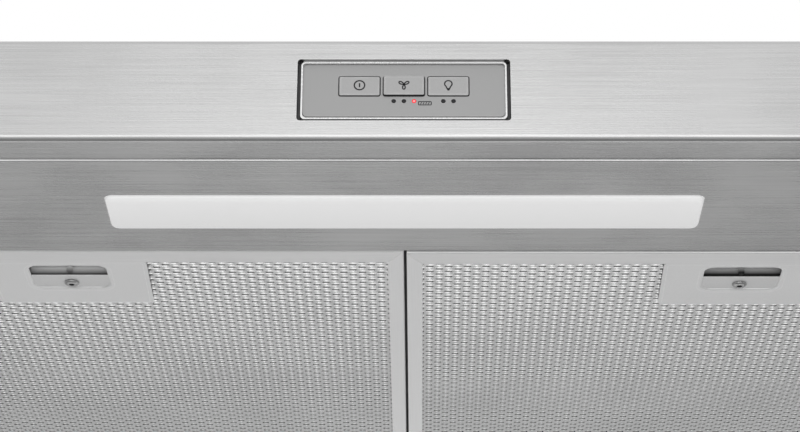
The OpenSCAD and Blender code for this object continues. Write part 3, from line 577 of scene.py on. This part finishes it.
def icons():
    """Printed symbols: a ring with a bar, three fan blades and a lamp."""
    icon_z = BUTTON_Z + 0.35
    shapes = {name: Shape() for name in BUTTONS}
    front = {name: lo[1] for name, (lo, _) in BUTTONS.items()}
    middle = {name: (lo[0] + hi[0]) / 2 for name, (lo, hi) in BUTTONS.items()}

    x = middle["power"]
    stroke(shapes["power"], circle(x, icon_z, 2.45, 40), 0.66, front["power"], True)
    stroke(shapes["power"], [(x, icon_z - 1.1), (x, icon_z), (x, icon_z + 1.1)], 0.66, front["power"])

    for turn in (30, 150, 270):
        blade = []
        for i in range(24):
            t = 2 * math.pi * i / 24
            along = 1.38 - 1.26 * math.cos(t)
            across = 0.78 * math.sin(t) * (0.75 - 0.25 * math.cos(t))
            a = math.radians(turn)
            blade.append((middle["fan"] + along * math.cos(a) - across * math.sin(a),
                          icon_z + 0.1 + along * math.sin(a) + across * math.cos(a)))
        stroke(shapes["fan"], blade, 0.62, front["fan"], True)

    x = middle["light"]
    bulb = []
    for i in range(25):
        a = math.radians(-52 + (360 - 76) * i / 24)
        bulb.append((x + 1.75 * math.cos(a), icon_z + 0.75 + 1.75 * math.sin(a)))
    bulb = [(x + 0.62, icon_z - 1.75)] + bulb + [(x - 0.62, icon_z - 1.75)]
    stroke(shapes["light"], bulb, 0.62, front["light"])
    for drop, half in ((1.8, 0.75), (2.2, 0.7), (2.6, 0.5)):
        line = [(x - half, icon_z - drop), (x, icon_z - drop), (x + half, icon_z - drop)]
        stroke(shapes["light"], line, 0.5, front["light"])

    for name, shape in shapes.items():
        shape.build(f"icon_{name}", ["lens_black"], f"{name}_button")


def filter_symbol():
    """A small symbol of a filter beside its lamp: a frame with slanted lines."""
    shape = Shape()
    y = FACE_Y
    x0, x1, z0, z1 = 6.9, 12.9, DOT_Z - 2.1, DOT_Z - 0.3
    stroke(shape, round_rect(x0, z0, x1, z1, 0.3, 3), 0.42, y, True)
    for i in range(4):
        x = x0 + 0.9 + 1.2 * i
        stroke(shape, [(x, z0 + 0.35), (x + 0.3, (z0 + z1) / 2), (x + 0.6, z1 - 0.35)], 0.36, y)
    shape.build("filter_symbol", ["lens_black"], "hood")


def indicator_domes():
    """Low domes of the dark indicators and of the lit red one."""
    shape = Shape()
    red = Shape()
    for x, target in [(x, shape) for x in DOTS_X] + [(RED_X, red)]:
        levels = [(0.5, -0.04), (0.2, -0.03), (0.06, 0.02), (0.0, 0.1), (0.0, 11.0)]
        target.plate([circle(x, DOT_Z, DOT_R, 24)], levels, facing_front(FACE_Y))
    shape.build("indicator_domes", ["lens_black"], "hood", replaces=["indicator_lenses"])
    centre = (RED_X * MM, (FACE_Y - 0.1) * MM, DOT_Z * MM)
    core, ring = (1.0, 0.42, 0.42, 1.0), (0.80, 0.03, 0.04, 1.0)
    MATERIALS["lens_red"] = lit_lens("lens_red", centre, core, ring, 0.5)
    red.build("filter_lamp", ["lens_red"], "hood", replaces=["filter_indicator"])


# ---- Light lens ----

def light_lens():
    """A frosted cover with a soft rim, standing proud of the light panel, and the flange behind it."""
    lo, hi = mm_box("light_lens")
    sheet_z = mm_box("light_panel")[0][2]
    flange_w = 4.0
    x1, yc = (hi[0] - lo[0]) / 2 - flange_w, (lo[1] + hi[1]) / 2
    half_d = (hi[1] - lo[1]) / 2 - flange_w
    proud = sheet_z - lo[2]
    shape = Shape()
    levels = [(5.6, 0.12), (4.9, 0.12), (4.4, 0.05), (3.9, 0.0), (2.6, 0.0), (1.7, 0.08), (0.9, 0.34),
              (0.35, 0.8), (0.08, 1.3), (0.0, proud), (0.0, proud + 1.0)]
    rings = []
    for inset, height in levels:
        ring = round_rect(inset - x1, yc - half_d + inset, x1 - inset, yc + half_d - inset,
                          max(4.2 - inset, 1.0), 8)
        rings.append([(u, v, lo[2] + height) for u, v in ring])
    shape.loft(rings, flip=True)
    shape.add(rings[0], [tuple(range(len(rings[0])))[::-1]])
    flange = round_rect(lo[0], lo[1], hi[0], hi[1], 4.0, 6)
    shape.plate([flange], rim(0.3, 1.5, 2), facing_down(sheet_z + 1.0))
    shape.build("light_lens_cover", ["lens_frosted"], "hood", replaces=["light_lens"])


# ---- Filters ----

# Spacing of the openings in the mesh, thickness of the frame's channel, width of its strips and of the
# open joint between them, and half the width of the latch cup.
LATTICE = (9.73, 6.3)
CHANNEL = 0.8
SIDE_STRIP, FRONT_STRIP, MITRE_GAP = 8.3, 13.0, 0.14
LATCH_CUP_HALF = 31.0
# Arguments of tile(): the opening's half axes, lift, drop, thickness and corners.
FACE_TILE = ((2.15, 1.98), 0.48, 0.48, 0.35, 8)
CORE_TILE = ((2.6, 1.3), 0.6, 0.6, 0.3, 4)


def tile(hole, lift, drop, thickness, corners):
    """One opening of expanded metal: a rhombus from knuckle to knuckle with the opening inside it. The rear
    of the opening's rim rises by lift and its front falls by drop, which tilts the strand behind it."""
    wide, deep = LATTICE[0] / 2, LATTICE[1] / 2
    knuckles = np.array([(wide, 0), (0, deep), (-wide, 0), (0, -deep)])
    per_edge = corners // 4
    outer, angles = [], []
    for k in range(4):
        for i in range(per_edge):
            outer.append((*(knuckles[k] + (knuckles[(k + 1) % 4] - knuckles[k]) * i / per_edge), 0.0))
            angles.append(math.pi / 2 * (k + i / per_edge))
    outer = np.array(outer)
    c, s = np.cos(angles), np.sin(angles)
    rise = np.where(s > 0, lift, drop) * s ** 3
    inner = np.stack([hole[0] * c, hole[1] * s, rise], axis=1)
    up = [0, 0, thickness]
    points = np.concatenate([inner, outer, outer + up, inner + up])
    quads = []
    for ring in (0, 2, 3):
        for k in range(corners):
            n, m = ring * corners, ((ring + 1) % 4) * corners
            quads.append((n + k, n + (k + 1) % corners, m + (k + 1) % corners, m + k))
    return points, np.array(quads)


def expanded_sheet(name, body, x_centre, region, keep_out, z, shape, shift, material, replaces=()):
    """A sheet of expanded metal with staggered openings, cut off inside the frame and round the latch."""
    wide, deep = LATTICE
    x0, x1, y0, y1 = region
    columns = int((x1 - x0) / (wide / 2)) - 1
    margin = ((x1 - x0) - (columns - 1) * wide / 2) / 2
    centres = np.array([(x0 + margin + i * wide / 2, y0 + deep * (0.5 + j + (i % 2) / 2) + shift)
                        for i in range(columns) for j in range(int((y1 - y0) / deep))])
    centres = centres[centres[:, 1] + deep / 2 <= y1 + 0.5]
    half_x, rear = keep_out
    centres = centres[~((np.abs(centres[:, 0]) < half_x + wide / 2) & (centres[:, 1] < rear - 0.5))]
    one, quads = tile(*shape)
    verts = np.zeros((len(centres), len(one), 3))
    verts[:, :, :2] = centres[:, None, :] + one[None, :, :2]
    verts[:, :, 2] = one[None, :, 2] + z
    near = (np.abs(verts[:, :, 0]) < half_x + 1.0) & (verts[:, :, 1] < rear)
    verts[:, :, 1][near] = rear
    verts[:, :, 0] = np.clip(verts[:, :, 0], x0, x1)
    verts[:, :, 1] = np.clip(verts[:, :, 1], y0, y1)
    flat = verts.reshape(-1, 3)
    # A quarter of a step off, so that no vertex lies where the rounding could go either way.
    keys = np.round(flat * 200 + 0.25).astype(np.int64)
    _, first, back = np.unique(keys, axis=0, return_index=True, return_inverse=True)
    faces = (quads[None, :, :] + (np.arange(len(centres)) * len(one))[:, None, None]).reshape(-1, 4)
    faces = np.asarray(back).reshape(-1)[faces]
    faces = faces[(np.diff(np.sort(faces, axis=1), axis=1) > 0).all(axis=1)]
    mesh = bpy.data.meshes.new(name)
    coords = flat[first] + [x_centre, 0, 0]
    mesh.vertices.add(len(coords))
    mesh.vertices.foreach_set("co", (coords * MM).astype(np.float32).ravel())
    mesh.loops.add(faces.size)
    mesh.loops.foreach_set("vertex_index", faces.astype(np.int32).ravel())
    mesh.polygons.add(len(faces))
    mesh.polygons.foreach_set("loop_start", np.arange(0, faces.size, 4, dtype=np.int32))
    mesh.update(calc_edges=True)
    finish_mesh(name, mesh, [material], body, 50.0, replaces)


def channel_profile(width, height):
    """Outline of the frame's channel: u is the distance in from the outer edge, and v the height."""
    t, r = CHANNEL, 1.1
    out = []
    for i in range(5):
        a = math.radians(180 + 90 * i / 4)
        out.append((r + r * math.cos(a), r + r * math.sin(a)))
    out += [(width - 0.8, 0.0), (width - 0.4, 0.03), (width - 0.12, 0.14), (width, 0.4), (width - 0.1, 0.7),
            (width - 0.4, t), (t + 0.3, t), (t, t + 0.3), (t, height - t - 0.3), (t + 0.3, height - t),
            (width - 0.4, height - t), (width, height - 0.4), (width - 0.4, height)]
    for i in range(5):
        a = math.radians(90 + 90 * i / 4)
        out.append((r + r * math.cos(a), height - r + r * math.sin(a)))
    return out


def strip(shape, profile, ends, place, paint):
    """A profile swept between two mitred ends; ends gives a point's start and end along the strip, from
    its distance u from the outer edge of the frame."""
    shape.loft([[place(u, v, ends(u)[i]) for u, v in profile] for i in (0, 1)], True, paint, flip=True)
    for i, flip in ((0, False), (1, True)):
        shape.fill([profile], lambda u, v, i=i: place(u, v, ends(u)[i]), flip, paint)


def filter_frame(side):
    """Four mitred channels, with a slot for the latch's bolt in the front one, and two tabs at the rear."""
    lo, hi = mm_box(f"filter_frame_{side}")
    x0, x1, y0, z0 = lo[0], hi[0], lo[1], lo[2]
    height = hi[2] - lo[2]
    y1 = mm_box(f"filter_mesh_{side}")[1][1] + 1.0
    wide, deep, gap = SIDE_STRIP, FRONT_STRIP, MITRE_GAP
    shape = Shape()
    slope = wide / deep
    side_shape, end_shape = channel_profile(wide, height), channel_profile(deep, height)
    slot_half, slot_z0, slot_z1 = 9.6, 2.7, 5.7
    middle, turn = (x0 + x1) / 2, CHANNEL + 0.31

    def side_ends(u):
        return (y0 + u / slope + gap, y1 - u / slope - gap)

    def rear_ends(u):
        return (x1 - u * slope - gap, x0 + u * slope + gap)

    def front_ends(u):
        return (x0 + u * slope + gap, x1 - u * slope - gap)

    # The side strips take the paler copy of the aluminium, a painted highlight.
    strip(shape, side_shape, side_ends, lambda u, v, s: (x0 + u, s, z0 + v), 1)
    strip(shape, side_shape[::-1], side_ends, lambda u, v, s: (x1 - u, s, z0 + v), 1)
    strip(shape, end_shape, rear_ends, lambda u, v, s: (s, y1 - u, z0 + v), 0)
    lower = [p for p in end_shape if p[1] <= turn] + [(CHANNEL, slot_z0), (0.0, slot_z0)]
    upper = [(0.0, slot_z1), (CHANNEL, slot_z1)] + [p for p in end_shape if p[1] >= height - turn]
    for part in (lower, upper):
        strip(shape, part, front_ends, lambda u, v, s: (s, y0 + u, z0 + v), 0)
    wall = [(0.0, slot_z0), (CHANNEL, slot_z0), (CHANNEL, slot_z1), (0.0, slot_z1)]
    for reach in ((x0 + gap, middle - slot_half), (middle + slot_half, x1 - gap)):
        strip(shape, wall, lambda u, reach=reach: reach, lambda u, v, s: (s, y0 + u, z0 + v), 0)
    for x in (middle - 95, middle + 95):
        tab = round_corners([(x - 10, y1 - 1), (x + 10, y1 - 1), (x + 10, hi[1]), (x - 10, hi[1])], 1.5)
        shape.plate([tab], rim(0.2, CHANNEL, 2, 0.2), facing_down(hi[2] - CHANNEL), 0)
    shape.build(f"filter_channel_{side}", ["filter_aluminium", "filter_rail_highlight"], f"filter_{side}",
                replaces=[f"filter_frame_{side}"])


def latch_plate(side):
    """Plate behind the front strip, with a rolled window for the slide, and the cup above it."""
    frame_lo, _ = mm_box(f"filter_frame_{side}")
    lo, hi = mm_box(f"latch_plate_{side}")
    xc, z0 = (lo[0] + hi[0]) / 2, lo[2] - 0.02
    y0 = frame_lo[1]
    front, rear = y0 + 12.3, y0 + 64
    shape = Shape()
    outline = round_corners([(xc - 42, front), (xc + 42, front), (xc + 41, rear), (xc - 41, rear)], 3.2, 6)
    window = round_rect(xc - 20.0, y0 + 17.6, xc + 20.0, y0 + 45.2, 5.5, 8)
    shape.plate([outline], [(2.0, 0.0), (0.5, 0.0), (0.2, 0.06), (0.03, 0.25), (0.0, 0.45), (0.0, CHANNEL)],
                facing_down(z0), caps=(False, False))
    rolled = [(-2.6, 0.0), (-1.5, 0.0), (-0.9, 0.08), (-0.4, 0.32), (-0.1, 0.72), (0.0, 1.1)]
    shape.plate([window[::-1]], [(-i, h) for i, h in rolled], facing_down(z0), caps=(False, False))
    for height, plate_inset, window_inset in ((0.0, 2.0, 2.6), (CHANNEL, 0.0, 0.4)):
        shape.fill([offset(outline, plate_inset), offset(window[::-1], window_inset)],
                   lambda u, v, height=height: (u, v, z0 + height), height == 0)
    cup0, cup1, roof = y0 + CHANNEL, hi[1] - 0.7, hi[2]
    wall, half = 1.0, LATCH_CUP_HALF
    for a, b in ((-half, -half + wall), (half - wall, half)):
        box_into(shape, (xc + a, cup0, z0 + CHANNEL), (xc + b, cup1, roof), 0.2)
    box_into(shape, (xc - half, cup1 - 0.3, z0 + CHANNEL), (xc + half, cup1 + 0.7, roof), 0.2)
    box_into(shape, (xc - half, cup0, roof - wall), (xc + half, cup1, roof), 0.2)
    shape.build(f"latch_cover_{side}", ["latch_grey"], f"filter_{side}",
                replaces=[f"latch_plate_{side}"])


def latch_slider(side):
    """Moulded slide: a finger scoop, a lip and a flat pad, with side rails and a bolt."""
    lo, hi = mm_box(f"latch_slider_{side}")
    frame_lo, _ = mm_box(f"filter_frame_{side}")
    xc, z0, y0 = (lo[0] + hi[0]) / 2, lo[2], frame_lo[1]
    front, rear, lip = y0 + 4, y0 + 49, y0 + 31.2
    shape = Shape()
    half, inner = 20.85, 20.8
    under = [(y0 + 15.4, z0), (y0 + 16.2, z0 + 0.15), (y0 + 17.4, z0 + 0.9), (y0 + 19.4, z0 + 2.2),
             (y0 + 22.4, z0 + 3.6), (y0 + 26.4, z0 + 4.5), (lip - 0.7, z0 + 4.9)]
    # The scoop, the thin sheet on the lip's front and the knob take slider_recess, which carries the
    # painted shade of the recess.
    scoop = under + [(y, z + 0.6) for y, z in reversed(under)]
    extrude_x(shape, scoop, xc - half, xc + half, 1)
    pad = [(lip + 0.7, z0), (lip + 0.25, z0 + 0.12), (lip, z0 + 0.5), (lip, z0 + 5.5),
           (lip + 1.2, z0 + 5.5), (lip + 1.2, z0 + 1.2), (rear, z0 + 1.2), (rear, z0)][::-1]
    extrude_x(shape, pad, xc - half, xc + half)
    # A thin sheet over the lip's front face, there to carry the painted shade.
    wall = [(lip - 0.06, z0 + 0.45), (lip - 0.06, z0 + 5.5), (lip + 0.1, z0 + 5.5), (lip + 0.1, z0 + 0.45)]
    extrude_x(shape, wall, xc - inner, xc + inner, 1)
    knob = [(0.01, 0.0), (0.8, 0.1), (1.4, 0.45), (1.7, 1.1), (1.7, 3.2)]
    lathe(shape, knob, (xc, lip - 1.2, z0 + 0.9), paint=1)
    for a, b in ((-26, -inner), (inner, 26)):
        box_into(shape, (xc + a, front, z0), (xc + b, rear, z0 + 1.2), 0.3)
    box_into(shape, (xc - 21, front, z0), (xc + 21, y0 + 15.8, z0 + 1.2), 0.3)
    box_into(shape, (xc - 6, rear - 1, z0), (xc + 6, rear, z0 + 5.3), 0.2)
    box_into(shape, (xc - 9, front, z0), (xc + 9, front + 9, z0 + 4.1), 0.3)
    box_into(shape, (xc - 9, lo[1], z0 + 2.1), (xc + 9, front + 1, z0 + 4.1), 0.5)
    shape.build(f"latch_slide_{side}", ["slider_grey", "slider_recess"], f"latch_{side}",
                replaces=[f"latch_slider_{side}"])


def latch_rivet(side):
    """A rivet with a rounded head, and a hole in its middle painted black as shade."""
    lo, hi = mm_box(f"latch_rivet_{side}")
    centre = ((lo[0] + hi[0]) / 2, (lo[1] + hi[1]) / 2 + 2.2, lo[2])
    shape = Shape()
    length = hi[2] - lo[2]
    head = [(1.35, 0.3), (1.6, 0.06), (2.1, 0.0), (2.7, 0.1), (3.2, 0.32), (3.6, 0.62), (3.85, 1.0),
            (3.85, 1.4), (3.3, 1.45), (1.8, 1.5), (1.8, length), (0.01, length)]
    lathe(shape, head, centre)
    # The hole's inner faces are painted black as shade.
    lathe(shape, [(0.01, 1.4), (0.9, 1.35), (1.25, 0.9), (1.35, 0.3)], centre, paint=1)
    shape.build(f"latch_eyelet_{side}", ["rivet_steel", "lens_black"], f"filter_{side}", smooth=50,
                replaces=[f"latch_rivet_{side}"])


def panel_hem():
    """Rolled hem along the front edge of the light panel."""
    lo, hi = mm_box("light_panel")
    shape = Shape()
    hem = [(lo[1] + 0.7 - 1.15 * math.cos(math.radians(a)), lo[2] + 0.98 - 1.15 * math.sin(math.radians(a)))
           for a in range(0, 91, 10)]
    hem += [(lo[1] + 3.4, lo[2] - 0.02), (lo[1] + 3.4, lo[2] + 0.3), (lo[1] + 0.7, lo[2] + 0.98)]
    extrude_x(shape, hem, lo[0] + 1, hi[0] - 1)
    shape.build("panel_hem", ["stainless_under"], "hood")


def divider_gap_shade():
    """Black strip over the gap between the two filters: painted shade seen through the gap."""
    front, top = mm_box("filter_frame_left")[0][1], mm_box("filter_frame_left")[1][2]
    rear = mm_box("filter_mesh_left")[1][1]
    shape = Shape()
    box_into(shape, (-5.0, front + 1, top + 0.1), (5.0, rear, top + 2.0), 0.5)
    shape.build("divider_gap_shade", ["black_plastic"], "hood")


def filters():
    """Both filters; the filter's mesh is three layers of expanded metal."""
    for side in SIDES:
        filter_frame(side)
        latch_plate(side)
        latch_slider(side)
        latch_rivet(side)
        lo, hi = mm_box(f"filter_mesh_{side}")
        plate_hi = mm_box(f"latch_plate_{side}")[1]
        top = mm_box(f"filter_pad_{side}")[1][2]
        xc, z = (lo[0] + hi[0]) / 2, lo[2]
        half = (hi[0] - lo[0]) / 2
        region = (-half, half, lo[1], hi[1])
        keep = (LATCH_CUP_HALF + 0.4, plate_hi[1] + 0.4)
        body = f"filter_{side}"
        expanded_sheet(f"filter_face_{side}", body, xc, region, keep, z + 1.3, FACE_TILE, 0.0,
                       "mesh_aluminium", [f"filter_mesh_{side}"])
        expanded_sheet(f"filter_core_{side}", body, xc, region, keep, z + 3.6, CORE_TILE, 1.5,
                       "mesh_core", [f"filter_pad_{side}"])
        expanded_sheet(f"filter_back_{side}", body, xc, region, keep, top - 1.0, CORE_TILE, 0.0,
                       "mesh_core")


# ---- CAD nodes that stay: materials and softened edges ----

# Width of each node's bevel, in millimetres.
SOFT_EDGE = {
    "canopy_front": 0.8, "light_panel": 0.9, "side_rail_left": 0.3, "side_rail_right": 0.3,
    "rear_rail": 0.3, "side_panel_left": 0.3, "side_panel_right": 0.3, "duct_collar": 0.25,
    "control_tray": 0.25, "led_driver": 0.8, "junction_box": 0.35, "junction_cover": 0.35,
    "terminal_block": 0.4, "lamp_tray": 0.35, "centre_divider": 0.3, "motor_case": 1.0,
    "motor_bearings": 0.4, "run_capacitor": 0.8, "damper_flap": 0.2, "damper_pin": 0.2,
    "motor_bracket": 0.3, "blower_housing_left": 0.4, "blower_housing_right": 0.4, "inlet_ring_left": 0.2,
    "inlet_ring_right": 0.2, "motor_shaft": 0.4, "panel_screws": 0.25, "ground_screw": 0.2,
    "control_board": 0.15, "tact_switches": 0.2,
}

# Nodes whose triangulated flat faces are joined, and nodes that keep their hard edges.
ONE_FACE = ("canopy_front", "light_panel", "control_tray")
PLAIN_PLATES = ("back_panel", "top_panel", "rear_duct_blank")


def dress_cad():
    """Give each CAD node that stays its material, clean shading and softened edges."""
    for name, piece in NODES.items():
        if piece.hide_render:
            continue
        mesh = piece.data
        mesh.materials.clear()
        mesh.materials.append(MATERIALS[SLOT_OF[name]])
        if "custom_normal" in mesh.attributes:
            mesh.attributes.remove(mesh.attributes["custom_normal"])
        mesh.polygons.foreach_set("use_smooth", [name not in PLAIN_PLATES] * len(mesh.polygons))
        mesh.polygons.foreach_set("material_index", [0] * len(mesh.polygons))
        if name in PLAIN_PLATES:
            continue
        weld = piece.modifiers.new("weld", "WELD")
        weld.merge_threshold = 0.00001
        if name in ONE_FACE:
            flat = piece.modifiers.new("flat_faces", "DECIMATE")
            flat.decimate_type = "DISSOLVE"
            flat.angle_limit = math.radians(0.4)
        if name == "canopy_front":
            pocket_rim = [v.index for v in mesh.vertices
                          if abs(v.co.y / MM - FRONT) < 0.05 and abs(v.co.x) < 0.06
                          and v.co.z / MM > FACE_LO[2] - 6]
            piece.vertex_groups.new(name="pocket_rim").add(pocket_rim, 1.0, "REPLACE")
            rolled = piece.modifiers.new("rolled_rim", "BEVEL")
            rolled.width = 1.3 * MM
            rolled.segments = 5
            rolled.limit_method = "VGROUP"
            rolled.vertex_group = "pocket_rim"
        if name in SOFT_EDGE:
            bevel = piece.modifiers.new("soft_edges", "BEVEL")
            bevel.width = SOFT_EDGE[name] * MM
            bevel.segments = 2
            bevel.limit_method = "ANGLE"
            bevel.angle_limit = math.radians(40)
            bevel.miter_outer = "MITER_ARC"
        weighted = piece.modifiers.new("weighted", "WEIGHTED_NORMAL")
        weighted.keep_sharp = False
        weighted.weight = 80


# ---- Floor, light and camera ----

def studio():
    """A grey floor for the reflections, soft lamps and an even white surround."""
    floor_mesh = bpy.data.meshes.new("studio_floor")
    size, level = 4.0, -0.95
    corners = ((-size, -size, level), (size, -size, level), (size, size, level), (-size, size, level))
    floor_mesh.from_pydata(corners, [], [(0, 1, 2, 3)])
    floor = bpy.data.objects.new("studio_floor", floor_mesh)
    bpy.context.scene.collection.objects.link(floor)
    floor_mesh.materials.append(
        surface("studio_floor", (0.31, 0.31, 0.31), 0.7, 0.0, even(40), 0.02, 0.05, 0.0))

    def softbox(name, place, aim, width, height, power):
        data = bpy.data.lights.new(name, "AREA")
        data.shape = "RECTANGLE"
        data.size, data.size_y, data.energy = width, height, power
        lamp = bpy.data.objects.new(name, data)
        lamp.location = place
        lamp.rotation_euler = (Vector(aim) - Vector(place)).to_track_quat("-Z", "Y").to_euler()
        lamp.visible_camera = False
        bpy.context.scene.collection.objects.link(lamp)

    softbox("key", (0.0, -1.9, 0.4), (0.0, -0.35, -0.11), 0.6, 0.4, 1.0)
    softbox("low_front", (0.0, -2.2, -0.45), (0.0, -0.35, -0.13), 1.8, 0.9, 6.8)
    softbox("front_floor", (0.0, -0.95, -0.93), (0.0, -0.35, -0.14), 1.8, 0.9, 1.8)
    softbox("under", (0.0, 0.30, -0.93), (0.0, 0.10, -0.14), 1.4, 0.64, 2.75)
    softbox("floor_pool", (0.0, 2.3, 0.0), (0.0, 2.3, -0.95), 0.6, 0.9, 9.0)

    world = bpy.data.worlds.new("studio_world")
    world.use_nodes = True
    world.node_tree.nodes["Background"].inputs["Color"].default_value = (1.0, 1.0, 1.0, 1.0)
    world.node_tree.nodes["Background"].inputs["Strength"].default_value = 1.0
    bpy.context.scene.world = world
    bpy.context.scene.view_settings.view_transform = "Standard"


def camera():
    data = bpy.data.cameras.new("camera")
    data.lens = 106.6
    data.sensor_width = 36.0
    data.shift_x = -0.025
    data.clip_start, data.clip_end = 0.05, 30.0
    eye = bpy.data.objects.new("camera", data)
    eye.location = (0.0076, -1.3263, -0.658)
    eye.rotation_euler = (math.radians(90 + 26.1), 0.0, 0.0)
    bpy.context.scene.collection.objects.link(eye)
    bpy.context.scene.camera = eye


camera()
studio()
control_face()
button_gap_shades()
tray_shade_strips()
for button_name in BUTTONS:
    button(button_name)
icons()
filter_symbol()
indicator_domes()
light_lens()
filters()
divider_gap_shade()
panel_hem()
dress_cad()
